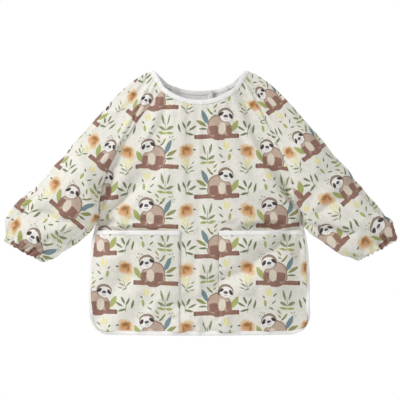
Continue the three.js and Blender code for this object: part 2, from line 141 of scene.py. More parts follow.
# The sleeve hangs at this angle; ALONG runs down it, and ACROSS to its outer fold
DROP_ANGLE = math.radians(50)
ALONG = np.array([math.cos(DROP_ANGLE), -math.sin(DROP_ANGLE)])
ACROSS = np.array([math.sin(DROP_ANGLE), math.cos(DROP_ANGLE)])
ARMHOLE = np.array(JOINTS["left_sleeve_swing"]["pos_m"])[[0, 2]]
SHOULDER = ARMHOLE + ACROSS * SLEEVE_WIDTH / 2
HEAD_END = SHOULDER - ALONG * BEND_REACH
TUBE_TOP = SHOULDER + ALONG * BEND_REACH
TUBE_UNDER = ARMPIT + ALONG * BEND_UNDERARM
CUFF = np.array(MOUNTS["left_cuff"]["pos_m"])[[0, 2]]
CUFF_AXIS = np.array(MOUNTS["left_cuff"]["axis"])[[0, 2]]
CUFF_ACROSS = np.array([-CUFF_AXIS[1], CUFF_AXIS[0]])
CUFF_OUT, CUFF_IN = CUFF + CUFF_ACROSS * CUFF_WIDTH / 2, CUFF - CUFF_ACROSS * CUFF_WIDTH / 2
NECK_POINT = np.array([NECK_HALF, NECK_HEIGHT])
HEAD_EDGE = [
    NECK_POINT,
    [mix(NECK_POINT[0], HEAD_END[0], 0.32), NECK_POINT[1] - 4 * MM],
    HEAD_END - np.array([0.68, -0.73]) * (HEAD_END[0] - NECK_POINT[0]) * 0.41,
    HEAD_END,
]
TUBE_OUTER = [TUBE_TOP, [CUFF_OUT[0] - 1 * MM, mix(TUBE_TOP[1], CUFF_OUT[1], 0.42)], CUFF_OUT]
TUBE_INNER = [
    TUBE_UNDER,
    [mix(TUBE_UNDER[0], CUFF_IN[0], 0.43), mix(TUBE_UNDER[1], CUFF_IN[1], 0.6)],
    CUFF_IN,
]

# The line a back flap folds about
FOLD_TOP_X = BACK_SEAM_X - FOLD_INSET
FOLD_TOP = np.array([FOLD_TOP_X, SEAM_DEPTHS["back"][0], float(neckline(FOLD_TOP_X, BACK_DROP))])
FOLD_LOW = np.array([ARMPIT[0] - FOLD_INSET, FOLD_LOW_DEPTH, FLAP_LOW_Z])

# ---- Surfaces ----


def seam_parameter(z):
    """The front raglan seam's parameter at each height; the seam always falls."""
    t = np.linspace(0, 1, 400)
    falling = cubic(SEAMS["front"], t)[:, 1]
    return np.interp(-np.asarray(z), -falling, t)


def front_depth(x, z):
    t = seam_parameter(z)
    below = z < ARMPIT[1]
    hanging = SIDE_DEPTH * smooth(-z, -ARMPIT[1], -ARMPIT[1] + 80 * MM)
    edge = np.where(below, hanging, seam_depth("front", t))
    half = np.where(below, side_x(z), cubic(SEAMS["front"], t)[..., 0])
    centre = mix(CHEST_DEPTH, NECK_DEPTH, smooth(z, -190 * MM, -FRONT_DROP))
    return mix(centre, edge, np.minimum(1, (x / half) ** 2))


def coons(top, right, bottom, left):
    """A blended field of points between four sides; top and bottom run left to right."""
    wide, high = len(top), len(left)
    u = np.linspace(0, 1, wide)[None, :, None]
    v = np.linspace(0, 1, high)[:, None, None]
    rows = mix(top[None], bottom[None], v)
    columns = mix(left[:, None], right[:, None], u)
    corners = mix(mix(top[0], top[-1], u), mix(bottom[0], bottom[-1], u), v)
    return rows + columns - corners


def grid_quads(rows, columns):
    r, c = np.meshgrid(np.arange(rows - 1), np.arange(columns - 1), indexing="ij")
    first = (r * columns + c).reshape(-1)
    return np.stack([first, first + 1, first + columns + 1, first + columns], -1)


# How finely the cloth is divided: cells of about 7 mm
SEAM_CELLS = 40
SIDE_CELLS = 26
CORNER_CELLS = 4
HEM_CELLS = 48
RING_HALF = 28
TUBE_CELLS = 26
FLAP_CELLS = 26
STRIP_CELLS = 6

T_SEAM = np.linspace(0, 1, SEAM_CELLS + 1)


def head_points(s, turn):
    """The raglan head at s along the seams; turn runs from -1, the front seam, to 1, the back seam."""
    front = turn < 0
    depth = np.where(front, seam_depth("front", s), seam_depth("back", s))
    inner = np.where(front[..., None], cubic(SEAMS["front"], s), cubic(SEAMS["back"], s))
    outer = cubic(HEAD_EDGE, s)
    share = np.sin(np.abs(turn) * np.pi / 2) ** 2
    angle = np.abs(turn) * np.pi
    off = depth * np.sin(angle / 2) + SLEEVE_HALF_DEPTH * smooth(s, 0.3, 1) * np.sin(angle)
    place = mix(outer, inner, share[..., None])
    return np.stack([place[..., 0], np.where(front, -off, off), place[..., 1]], -1)


def ring_points(inner, outer, depth, turn):
    angle = turn * np.pi
    middle = (inner + outer) / 2 + (outer - inner) / 2 * np.cos(angle)[..., None]
    return np.stack([middle[..., 0], depth * np.sin(angle), middle[..., 1]], -1)


# Where the print's motifs fall on a sleeve, across and up
SLEEVE_PRINT_SHIFT = np.array([47, -30]) * MM


def print_frame(points):
    """Flat cloth coordinates on a sleeve: across, unrolled from the front's middle, and up to the shoulder."""
    step = np.linalg.norm(np.diff(points, axis=1), axis=-1)
    run = np.concatenate([np.zeros((len(points), 1)), np.cumsum(step, axis=1)], axis=1)
    middle = RING_HALF // 2
    flat = points[..., [0, 2]]
    across = (flat[:, middle] @ ACROSS)[:, None] + run - run[:, middle : middle + 1]
    return np.stack([across, -(flat @ ALONG)], -1) + SLEEVE_PRINT_SHIFT


def sleeve_piece():
    """The wearer's left sleeve from the neckline to the cuff, as rows of a ring that opens at the top."""
    turns = np.linspace(-1, 1, 2 * RING_HALF + 1)
    s, turn = np.meshgrid(T_SEAM, turns, indexing="ij")
    head = head_points(s, turn)
    t = np.linspace(0, 1, TUBE_CELLS + 1)[1:]
    length = np.linalg.norm(TUBE_TOP - HEAD_END) + np.linalg.norm(CUFF_OUT - TUBE_TOP)
    bend = np.linalg.norm(TUBE_TOP - HEAD_END) / length
    bending = (t < bend)[:, None]
    in_bend = np.clip(t / bend, 0, 1)[:, None]
    down = np.clip((t - bend) / (1 - bend), 0, 1)
    outer = np.where(bending, mix(HEAD_END, TUBE_TOP, in_bend), quadratic(TUBE_OUTER, down))
    inner = np.where(bending, mix(ARMPIT, TUBE_UNDER, in_bend), quadratic(TUBE_INNER, down))
    depth = mix(SLEEVE_HALF_DEPTH, CUFF_HALF_DEPTH, smooth(down, 0.45, 1))
    tube = ring_points(inner[:, None], outer[:, None], depth[:, None], turns[None] * np.ones((len(t), 1)))
    points = np.concatenate([head, tube])
    return points, print_frame(points)


def side_line(top_z, inset, cells, corner_cells):
    """The free side from top_z down, and the first half of the corner."""
    turn = HEM_Z + CORNER_R
    z = np.linspace(top_z, turn, cells + 1)
    straight = np.stack([side_x(z) - inset, z], -1)
    return np.concatenate([straight, corner_arc(inset, 0, corner_cells)[1:]])


def corner_arc(inset, half, cells):
    turn = HEM_Z + CORNER_R
    angle = (half + np.linspace(0, 1, cells + 1)) * np.pi / 4
    radius = CORNER_R - inset
    centre = side_x(turn) - CORNER_R
    return np.stack([centre + radius * np.cos(angle), turn - radius * np.sin(angle)], -1)


def front_piece():
    """The front panel in rows from the neckline to the hem; its corners' arcs end its sides and its hem."""
    below = side_line(ARMPIT[1], 0, SIDE_CELLS, CORNER_CELLS)
    side = np.concatenate([cubic(SEAMS["front"], T_SEAM), below[1:]])
    corner = corner_arc(0, 1, CORNER_CELLS)
    flip = np.array([-1, 1])
    hem_x = np.linspace(-corner[-1, 0], corner[-1, 0], HEM_CELLS + 1)
    hem = np.stack([hem_x, np.full_like(hem_x, HEM_Z)], -1)
    bottom = np.concatenate([(corner * flip)[:-1], hem, corner[::-1][1:]])
    across = np.sin((np.linspace(0, 1, len(bottom)) - 0.5) * np.pi) * side[0, 0]
    top = np.stack([across, neckline(across, FRONT_DROP)], -1)
    flat = coons(top, side, bottom, side * flip)
    y = -front_depth(flat[..., 0], flat[..., 1])
    y[: SEAM_CELLS + 1, [0, -1]] = -seam_depth("front", T_SEAM)[:, None]
    points = np.stack([flat[..., 0], y, flat[..., 1]], -1)
    return points, flat.copy()


def back_piece(inner_layer):
    """One back half, from the raglan seam over the fold line to the free centre edge."""
    seam = cubic(SEAMS["back"], T_SEAM)
    fold = mix(FOLD_TOP, FOLD_LOW, T_SEAM[:, None])
    on_strip, on_flap = np.linspace(-1, 0, STRIP_CELLS + 1)[:-1], np.linspace(0, 1, FLAP_CELLS + 1)
    share = np.concatenate([on_strip, on_flap])
    t, w = np.meshgrid(T_SEAM, share, indexing="ij")
    end_z = mix(float(neckline(OVERLAP, BACK_DROP)), FLAP_LOW_Z, T_SEAM)
    on_strip = w < 0
    x = np.where(on_strip, mix(fold[:, :1], seam[:, :1], -w), mix(fold[:, :1], -OVERLAP, w))
    z = np.where(on_strip, mix(fold[:, 2:], seam[:, 1:], -w), mix(fold[:, 2:], end_z[:, None], w))
    top_line = z[0]
    z = z + (1 - t) ** 2 * (neckline(x[0], BACK_DROP) - top_line)[None] * (w[0] >= 0)[None]
    centre = np.interp(-z, [BACK_DROP, -FLAP_LOW_Z], BACK_CENTRE)
    reach = np.maximum(0, np.abs(x) - FLAT_CENTRE) / (fold[:, :1] - FLAT_CENTRE)
    y = mix(centre, fold[:, 1:2], np.minimum(1, reach) ** 2)
    if inner_layer:
        y -= FLAP_LAYER * smooth(-x, -FLAT_CENTRE * 2.4, -FLAT_CENTRE)
    y = np.where(on_strip, mix(fold[:, 1:2], seam_depth("back", T_SEAM)[:, None], -w), y)
    points = np.stack([x, y, z], -1)
    points[:, 0] = np.stack([seam[:, 0], seam_depth("back", T_SEAM), seam[:, 1]], -1)
    uv = np.stack([-x, z], -1)
    return points, uv


def reflected(points):
    return points * np.array([-1, 1, 1])


# ---- The cloth: every panel in one mesh, so that folds run across the seams ----

PANELS = {}


def panel(name, points, uv, outward_flip):
    rows, columns = points.shape[:2]
    quads = grid_quads(rows, columns)
    PANELS[name] = {
        "points": points,
        "uv": uv,
        "quads": quads[:, ::-1] if outward_flip else quads,
        "shape": (rows, columns),
    }


front_points, front_uv = front_piece()
panel("front", front_points, front_uv, True)
sleeve_points, sleeve_uv = sleeve_piece()
panel("left_sleeve", sleeve_points, sleeve_uv, True)
panel("right_sleeve", reflected(sleeve_points), sleeve_uv * np.array([-1, 1]), False)
outer_points, back_uv = back_piece(False)
inner_points, _ = back_piece(True)
panel("left_back", outer_points, back_uv, True)
panel("right_back", reflected(inner_points), back_uv * np.array([-1, 1]), False)

WELD = 1e-6


def weld(panels):
    """All panels' points with the ones at the same place made one, and each panel's numbers in the list."""
    stacked = np.concatenate([p["points"].reshape(-1, 3) for p in panels.values()])
    keys = np.round(stacked / WELD).astype(np.int64)
    _, first, inverse = np.unique(keys, axis=0, return_index=True, return_inverse=True)
    inverse = inverse.reshape(-1)
    start = 0
    for p in panels.values():
        count = p["points"].reshape(-1, 3).shape[0]
        p["index"] = inverse[start : start + count]
        start += count
    return stacked[first]


cloth_points = weld(PANELS)

# ---- Folds: long soft ones that the sewing sets, before the cloth is simulated ----


def vertex_normals(points, quads):
    corners = points[quads]
    face = np.cross(corners[:, 2] - corners[:, 0], corners[:, 3] - corners[:, 1])
    normals = np.zeros_like(points)
    for k in range(4):
        np.add.at(normals, quads[:, k], face)
    return normals / np.maximum(np.linalg.norm(normals, axis=1, keepdims=True), 1e-12)


def fold_heights(p):
    """How far the cloth stands out in its sewn-in folds: fans from each underarm, and long sleeve folds."""
    side = np.sign(p[:, 0])
    x, y, z = np.abs(p[:, 0]), p[:, 1], p[:, 2]
    from_pit = np.stack([x - ARMPIT[0], z - ARMPIT[1]], -1)
    far = np.linalg.norm(from_pit, axis=1)
    bearing = np.arctan2(from_pit[:, 1], from_pit[:, 0]) + 0.10 * side + 0.35 * np.sign(y)
    fan = np.cos(8.5 * bearing + 0.9 * side) + 0.5 * np.cos(14.0 * bearing - 1.7 * side)
    fan_height = 4.2 * MM * fan * smooth(far, 12 * MM, 70 * MM) * np.exp(-((far / (150 * MM)) ** 2))
    along = (np.stack([x, z], -1) - ARMHOLE) @ ALONG
    across = (np.stack([x, z], -1) - ARMHOLE) @ ACROSS
    sway = across + 9 * MM * np.sin(along / (38 * MM) + side + 1.5 * np.sign(y))
    ridges = np.cos(sway / (9.5 * MM) + 2.0 * side + np.sign(y)) + 0.6 * np.cos(sway / (17 * MM) - side)
    sleeve_height = 3.4 * MM * ridges * smooth(along, -20 * MM, 60 * MM)
    lower = smooth(-z, 300 * MM, 484 * MM)
    ripple = np.cos(p[:, 0] / (24 * MM) + 1.3) + 0.6 * np.cos(p[:, 0] / (13.5 * MM) - 0.4)
    body_height = 2.2 * MM * ripple * lower * (x < HEM_HALF + 1 * MM) * (along < 40 * MM)
    return fan_height + sleeve_height + body_height


FACES = np.concatenate([p["index"][p["quads"]] for p in PANELS.values()])
ROWS_COLUMNS = {name: p["index"].reshape(p["shape"]) for name, p in PANELS.items()}
FRONT_GRID = ROWS_COLUMNS["front"]


def held_weights():
    """How firmly each point keeps its place, 1 at bound edges and cuffs, and how flat the flaps keep it."""
    weight = np.full(len(cloth_points), 0.0)
    flat = np.full(len(cloth_points), 0.0)
    hem = np.concatenate([FRONT_GRID[SEAM_CELLS:, 0], FRONT_GRID[-1], FRONT_GRID[SEAM_CELLS:, -1]])
    neck = [FRONT_GRID[0]]
    for side in ("left", "right"):
        sleeve, back = ROWS_COLUMNS[side + "_sleeve"], ROWS_COLUMNS[side + "_back"]
        neck += [sleeve[0], back[0]]
        weight[sleeve[-1]] = 1
        weight[sleeve[: SEAM_CELLS + 1, 0]] = 0.12
        weight[sleeve[: SEAM_CELLS + 1, -1]] = 0.12
        weight[back[:, -1]] = 1
        weight[back[-1]] = 1
        near = np.abs(cloth_points[back.reshape(-1), 0]) < 36 * MM
        weight[back.reshape(-1)[near]] = 1
        flat[back.reshape(-1)] = smooth(-np.abs(cloth_points[back.reshape(-1), 0]), -80 * MM, -40 * MM)
    weight[hem] = 1
    weight[np.concatenate(neck)] = 1
    return weight, flat


weights, flatness = held_weights()
cloth_normals = vertex_normals(cloth_points, FACES)
folded = cloth_points + cloth_normals * (fold_heights(cloth_points) * (1 - flatness) * (1 - weights))[:, None]


FRAMES = 18


def simulated(start):
    """The cloth, a little larger than its outline, relaxed by Blender's cloth into its own small folds."""
    mesh = bpy.data.meshes.new("cloth_sim")
    mesh.from_pydata(start.tolist(), [], FACES.tolist())
    mesh.update()
    cloth_object = bpy.data.objects.new("cloth_sim", mesh)
    bpy.context.scene.collection.objects.link(cloth_object)
    goal = 0.03 + 0.97 * np.maximum(weights, 0.9 * flatness)
    held = cloth_object.vertex_groups.new(name="held")
    fuller = cloth_object.vertex_groups.new(name="fuller")
    share = smooth(np.abs(start[:, 0]), 150 * MM, 215 * MM)
    for i in range(len(start)):
        held.add([i], float(goal[i]), "REPLACE")
        fuller.add([i], float(share[i]), "REPLACE")
    modifier = cloth_object.modifiers.new("cloth", "CLOTH")
    settings = modifier.settings
    settings.quality = 6
    settings.mass = 0.12
    settings.air_damping = 6
    settings.tension_stiffness = settings.compression_stiffness = 18
    settings.shear_stiffness = 6
    settings.bending_stiffness = 0.35
    settings.vertex_group_mass = "held"
    settings.pin_stiffness = 0.6
    settings.shrink_min = -0.012
    settings.shrink_max = -0.035
    settings.vertex_group_shrink = "fuller"
    settings.effector_weights.gravity = 0.15
    modifier.collision_settings.use_self_collision = False
    modifier.collision_settings.use_collision = False
    modifier.point_cache.frame_start, modifier.point_cache.frame_end = 1, FRAMES
    scene = bpy.context.scene
    for frame_number in range(1, FRAMES + 1):
        scene.frame_set(frame_number)
    result = cloth_object.evaluated_get(bpy.context.evaluated_depsgraph_get())
    moved = np.empty(len(start) * 3, np.float32)
    result.data.vertices.foreach_get("co", moved)
    scene.frame_set(1)
    bpy.data.objects.remove(cloth_object)
    bpy.data.meshes.remove(mesh)
    return moved.reshape(-1, 3).astype(float)


MOST_MOVED = 9 * MM


def kept_near(start, moved):
    step = moved - start
    far = np.linalg.norm(step, axis=1, keepdims=True)
    return start + step * np.minimum(1, MOST_MOVED / np.maximum(far, 1e-9))


cloth = kept_near(folded, simulated(folded))

# ---- Finer grids, cut from the simulated cloth ----


def finer(grid):
    """The grid with a point between every two, on the smooth curve through its neighbours, both ways."""
    for axis in (0, 1):
        g = np.moveaxis(grid, axis, 0)
        ends = np.concatenate([[2 * g[0] - g[1]], g, [2 * g[-1] - g[-2]]])
        middle = (9 * (ends[1:-2] + ends[2:-1]) - ends[:-3] - ends[3:]) / 16
        out = np.empty((2 * len(g) - 1,) + g.shape[1:])
        out[0::2], out[1::2] = g, middle
        grid = np.moveaxis(out, 0, axis)
    return grid


GRIDS = {}
for name, p in PANELS.items():
    GRIDS[name] = {
        "points": finer(cloth[ROWS_COLUMNS[name]]),
        "uv": finer(p["uv"].reshape(p["shape"] + (2,))),
    }


# ---- Making pieces ----

FABRIC = 0.45 * MM


def add_mesh(name, points, faces, materials, uv=None):
    mesh = bpy.data.meshes.new(name)
    mesh.from_pydata(np.asarray(points).tolist(), [], [list(map(int, f)) for f in faces])
    for m in materials:
        mesh.materials.append(m)
    if uv is not None:
        layer = mesh.uv_layers.new(name="pattern")
        loops = np.empty(len(mesh.loops), np.int32)
        mesh.loops.foreach_get("vertex_index", loops)
        layer.data.foreach_set("uv", np.asarray(uv, np.float32)[loops].reshape(-1))
    mesh.polygons.foreach_set("use_smooth", [True] * len(mesh.polygons))
    mesh.update()
    piece = bpy.data.objects.new(name, mesh)
    bpy.context.scene.collection.objects.link(piece)
    return piece


def thickened(piece, thickness, inner_material=0):
    """The sheet given its thickness for good, with the reverse in its own material."""
    solidify = piece.modifiers.new("thickness", "SOLIDIFY")
    solidify.thickness = thickness
    solidify.offset = 0
    solidify.use_even_offset = False
    solidify.material_offset = solidify.material_offset_rim = inner_material
    finished = bpy.data.meshes.new_from_object(piece.evaluated_get(bpy.context.evaluated_depsgraph_get()))
    piece.modifiers.clear()
    old = piece.data
    piece.data = finished
    bpy.data.meshes.remove(old)
    finished.name = piece.name
    return piece


def sheet_piece(name, grid, uv, flip):
    """A panel of printed cloth with its thickness and its white reverse."""
    quads = grid_quads(*grid.shape[:2])
    if flip:
        quads = quads[:, ::-1]
    piece = add_mesh(name, grid.reshape(-1, 3), quads, CLOTH_MATERIALS, uv.reshape(-1, 2))
    return thickened(piece, FABRIC, 1)

# ---- Materials ----


class Nodes:
    """Short names for making shader nodes in a tree."""

    def __init__(self, tree):
        self.tree = tree

    def node(self, kind, inputs=(), **settings):
        n = self.tree.nodes.new(kind)
        for key, value in settings.items():
            setattr(n, key, value)
        for key, value in dict(inputs).items():
            self.put(n.inputs[key], value)
        return n

    def put(self, socket, value):
        if isinstance(value, bpy.types.NodeSocket):
            self.tree.links.new(value, socket)
        elif value is not None:
            socket.default_value = value

    def math(self, operation, a, b=None, c=None):
        n = self.node("ShaderNodeMath", operation=operation)
        for socket, value in zip(n.inputs, (a, b, c)):
            self.put(socket, value)
        return n.outputs[0]

    def vector(self, operation, a, b=None, c=None):
        n = self.node("ShaderNodeVectorMath", operation=operation)
        for socket, value in zip(n.inputs, (a, b, c)):
            self.put(socket, value)
        return n.outputs["Value"] if operation == "LENGTH" else n.outputs[0]

    def placed(self, at, centre, angle, scale):
        """The place at, in the frame of a shape with this centre, angle and scale.

        It is done in vector maths, because a Mapping node's output is of another type, and Cycles
        then holds all the shapes' places at once and runs out of room.
        """
        cos, sin = math.cos(math.radians(angle)), math.sin(math.radians(angle))
        straight = (cos / scale[0], cos / scale[1], 0)
        crossed = (sin / scale[0], sin / scale[1], 0)
        x, y = centre
        start = (-straight[0] * x - crossed[0] * y, crossed[1] * x - straight[1] * y, 0)
        turned = self.vector("CROSS_PRODUCT", at, (0, 0, 1))
        return self.vector("MULTIPLY_ADD", at, straight, self.vector("MULTIPLY_ADD", turned, crossed, start))

    def ramp(self, value, low, high, to=(0, 1), steps="SMOOTHSTEP"):
        n = self.node("ShaderNodeMapRange", interpolation_type=steps)
        self.put(n.inputs["Value"], value)
        n.inputs["From Min"].default_value, n.inputs["From Max"].default_value = low, high
        n.inputs["To Min"].default_value, n.inputs["To Max"].default_value = to
        return n.outputs[0]

    def tinted(self, under, over, mask):
        n = self.node("ShaderNodeMix", data_type="RGBA")
        self.put(n.inputs["Factor"], mask)
        self.put(n.inputs["A"], under)
        self.put(n.inputs["B"], over)
        return n.outputs["Result"]

    def multiplied(self, colour, shade):
        n = self.node("ShaderNodeMix", data_type="RGBA", blend_type="MULTIPLY")
        n.inputs["Factor"].default_value = 1
        self.put(n.inputs["A"], colour)
        self.put(n.inputs["B"], shade)
        return n.outputs["Result"]

    def grey(self, value):
        return self.node("ShaderNodeCombineXYZ", {"X": value, "Y": value, "Z": value}).outputs[0]

    def noise(self, coordinates, scale, detail=3, roughness=0.5, output="Fac"):
        n = self.node("ShaderNodeTexNoise", noise_dimensions="3D")
        self.put(n.inputs["Vector"], coordinates)
        n.inputs["Scale"].default_value = scale
        n.inputs["Detail"].default_value = detail
        n.inputs["Roughness"].default_value = roughness
        return n.outputs[output]


def linear(r, g, b):
    """A colour as seen on screen, in the linear values that shaders take."""
    channel = lambda v: v / 255 / 12.92 if v <= 10 else ((v / 255 + 0.055) / 1.055) ** 2.4
    return (channel(r), channel(g), channel(b), 1)


# Drawing in millimetres of cloth
def oval(n, at, centre, radii, angle=0.0, soft=0.7):
    reach = n.vector("LENGTH", n.placed(at, centre, angle, radii))
    edge = soft / min(radii)
    return n.ramp(reach, 1 + edge * 0.4, max(0.0, 1 - edge * 0.6))


def leaf(n, at, centre, half, width, angle, soft=0.6):
    """A pointed leaf: the overlap of two circles."""
    slim = width / half
    drop = (1 - slim * slim) / (2 * slim)
    local = n.placed(at, centre, angle, (half, half))
    mirror = n.vector("ABSOLUTE", local)
    reach = n.vector("LENGTH", n.vector("ADD", mirror, (0, drop, 0)))
    edge = soft / half
    return n.ramp(reach, slim + drop + edge * 0.4, slim + drop - edge * 0.6)


def bar(n, at, centre, half, angle=0.0, soft=0.7, round_by=1.5):
    """A bar with rounded corners; half holds its half length and half height."""
    local = n.vector("ABSOLUTE", n.placed(at, centre, angle, (1, 1)))
    core = (half[0] - round_by, half[1] - round_by, 0)
    past = n.vector("MAXIMUM", n.vector("SUBTRACT", local, core), (0, 0, 0))
    return n.ramp(n.vector("LENGTH", past), round_by + soft * 0.4, max(0.0, round_by - soft * 0.6))


def covered(n, at, shapes):
    """Where any of the shapes lies; a shape is the function that draws it and what that takes."""
    total = None
    for draw, *sizes in shapes:
        mask = draw(n, at, *sizes)
        total = mask if total is None else n.math("MAXIMUM", total, mask)
    return total


def painted(n, at, colour, layers, fur=None):
    """Lays (tone, strength, shapes) layers over colour in order; fur mixes the two tones of a pair."""
    for tone, strength, shapes in layers:
        cover = covered(n, at, shapes)
        if strength < 1:
            cover = n.math("MULTIPLY", cover, strength)
        if isinstance(tone, list):
            tone = n.tinted(*tone, fur)
        colour = n.tinted(colour, tone, cover)
    return colour


CELL_WIDE, CELL_HIGH = 116, 112

GROUND, GROUND_SHADE = linear(238, 235, 226), linear(228, 226, 214)
OUTLINE, NOSE, PATCH = linear(146, 124, 110), linear(92, 92, 101), linear(66, 52, 52)
TAN_FUR = [linear(186, 160, 142), linear(208, 186, 168)]
BROWN_FUR = [linear(138, 100, 86), linear(158, 120, 104)]
CREAM, CAP, FACE = linear(228, 217, 199), linear(150, 132, 117), linear(243, 240, 234)
BRANCH, BARK = linear(150, 112, 98), linear(112, 82, 70)
TEAL, OLIVE, LIME = linear(118, 142, 146), linear(148, 150, 92), linear(170, 176, 104)
SAGE, MOSS, WISP = linear(138, 148, 106), linear(118, 130, 92), linear(236, 228, 160)
PETAL, PETAL_DARK = linear(212, 160, 104), linear(156, 108, 62)
PETAL_LIGHT, PETAL_PINK = linear(228, 196, 150), linear(224, 172, 142)

# The motifs, in millimetres from the middle of their cell. Each layer covers the ones before it.

# A small animal sitting on a branch, with leaves behind it
ANIMAL = [
    (TEAL, 1, [(leaf, (-22.5, 10), 15.6, 4.8, -64)]),
    (OLIVE, 1, [
        (leaf, (-29.5, -1), 12, 3.6, -29),
        (leaf, (-15, 23), 6.5, 2.0, -55),
        (leaf, (-2.6, 31), 6, 1.7, 48),
        (leaf, (-3.5, 22), 4, 1.5, 40),
    ]),
    (MOSS, 1, [(leaf, (-26, -11.4), 9, 2.0, 0), (leaf, (-10.5, 17.5), 5.5, 1.9, -38)]),
    (LIME, 1, [(leaf, (34.2, -6), 13.5, 5.2, 61)]),
    (BRANCH, 1, [
        (bar, (-20, -25.9), (23, 4.2), 2.5),
        (bar, (22, -25), (20.5, 4.5), 1.5),
        (oval, (4, -28), (13, 5.2)),
    ]),
    (BARK, 0.75, [
        (bar, (-41.3, -27), (1.9, 3.6), 4),
        (bar, (40.6, -24.4), (1.9, 3.8), 4),
        (bar, (-26, -28.3), (10, 0.45), 3, 0.6, 0.4),
        (bar, (31, -23.6), (6, 0.4), 2, 0.6, 0.4),
    ]),
    (OUTLINE, 1, [
        (oval, (1.4, -4.6), (18.9, 20), -30),
        (oval, (-5, -15), (13.6, 12)),
        (oval, (19.5, -11), (9.2, 14), 8),
    ]),
    (TAN_FUR, 1, [
        (oval, (2, -5.2), (17.6, 18.8), -30, 2.2),
        (oval, (-4.5, -15), (12.6, 11.4), 0, 2.2),
        (oval, (19, -11), (8.2, 13), 8, 2.2),
    ]),
    (BROWN_FUR, 1, [
        (bar, (-5.5, -14.5), (8.8, 9.2), 5, 0.9, 4.5),
        (bar, (22.6, -14), (5, 9.6), 8, 0.9, 3.5),
        (oval, (4, -25.5), (9, 4.2)),
    ]),
    (CREAM, 1, [(oval, (9.8, -11), (7.2, 11.5), -4)]),
    (OUTLINE, 1, [(oval, (17, 15), (14.8, 13.4), -12)]),
    (CAP, 1, [(oval, (17.2, 14.7), (14, 12.6), -12, 1.2)]),
    (FACE, 1, [(oval, (17.8, 12.8), (12.4, 10.8), -14)]),
    (PATCH, 1, [(oval, (8.2, 16.6), (5.4, 3), 34, 0.5), (oval, (26.6, 12.6), (5.4, 3), -62, 0.5)]),
    (NOSE, 1, [
        (oval, (17, 12.4), (4.4, 2.7), -6, 0.5),
        (oval, (9.8, 17.6), (0.6, 0.6), 0, 0.3),
        (oval, (25.8, 14), (0.6, 0.6), 0, 0.3),
    ]),
    (OUTLINE, 0.8, [(bar, (17, 6.9), (3.6, 0.5), -4, 0.7, 0.4)]),
]
# A plant with paired leaves, and a small twig
SPRIG = [
    (WISP, 1, [(leaf, (15, 14), 8, 2.6, 88), (leaf, (21, 12), 8, 2.4, 70)]),
    (SAGE, 1, [
        (leaf, (-24, 6), 11, 1.9, -74),
        (leaf, (-12, 7), 11.5, 2.4, 76),
        (leaf, (-26, -10), 8.5, 3, -22),
        (leaf, (-10, -9), 8, 2.8, 32),
        (oval, (-17.5, -9), (0.7, 14), 2, 0.5),
    ]),
    (LIME, 1, [
        (leaf, (-25, -19), 8, 2.6, 4),
        (leaf, (-10, -18), 8.5, 2.6, 12),
        (leaf, (24, -8), 7.5, 2.8, 80),
    ]),
    (MOSS, 1, [
        (leaf, (6, 8), 5, 1.6, -42),
        (leaf, (8, -6), 5.5, 1.6, -46),
        (leaf, (27, 4), 3.5, 1.6, 50),
        (leaf, (12, -18), 5.5, 1.6, 24),
    ]),
]
# A soft watercolour flower: wisps behind it, its petals, and then its leaves and twigs
FLOWER_WISPS = [
    (WISP, 0.85, [
        (leaf, (6, -17), 8, 2.4, 30, 1.5),
        (leaf, (-3, -19), 8, 2.2, -58, 1.5),
        (leaf, (5, -25), 8, 2, 62, 1.2),
        (leaf, (-4, -27), 6, 1.6, -20, 1),
        (leaf, (37, -32), 9, 2.4, 40, 1.5),
        (leaf, (33, -26), 7, 2.2, 75, 1.5),
        (leaf, (41, -26), 6, 1.8, 20, 1.2),
    ]),
]
FLOWER_PETALS = [
    (PETAL_LIGHT, 0.85, [
        (oval, (0, -0.5), (14.5, 12), 0, 5),
        (oval, (-6, 7), (8, 7), 30, 4),
        (oval, (6, -8), (9, 7.5), -20, 4),
    ]),
    (PETAL, 1, [(oval, (0, 1), (11, 9), 10, 4.5), (oval, (5, -6), (6, 5), 0, 3)]),
    (PETAL_PINK, 0.7, [(oval, (-3, -7), (7, 3.4), -12, 3)]),
    (PETAL_DARK, 0.9, [(oval, (0.5, 3.5), (7.5, 4), 8, 3), (oval, (6, -3), (2, 4.5), -30, 2)]),
]
FLOWER_LEAVES = [
    (NOSE, 1, [(leaf, (-15.5, 2), 3.2, 1.5, 12)]),
    (SAGE, 1, [
        (leaf, (6, -32), 7, 1.6, 44),
        (leaf, (-7, -33), 7, 1.6, -30),
        (leaf, (-10, -39), 6, 1.2, -16),
        (leaf, (-1, -41), 6, 1.2, 34),
        (leaf, (-12, -24), 5, 1.2, -40),
        (oval, (-1, -33), (0.5, 11), 16, 0.4),
        (bar, (27, 20), (7, 0.35), 62, 0.4, 0.3),
        (oval, (23, 20), (1.6, 1.1), 20, 0.5),
        (oval, (26, 26), (1.6, 1.1), 60, 0.5),
        (oval, (30, 18), (1.6, 1.1), -10, 0.5),
        (oval, (32, 25), (1.7, 1.1), 50, 0.5),
    ]),
    (MOSS, 1, [
        (leaf, (-5, 51), 9.5, 2.3, -64),
        (leaf, (5, 47), 8, 2, 66),
        (leaf, (-12, 42), 9, 2.3, -30),
        (leaf, (14, 42), 9.5, 2.4, 76),
        (leaf, (-6, 31), 9, 2.3, 14),
        (oval, (1, 36), (0.6, 11), -6, 0.4),
    ]),
]
# How far the columns are moved across and up, so that animals lie near the body's middle line
ACROSS_BY, UP_BY, FLOWER_DROP = -33, 80, 4


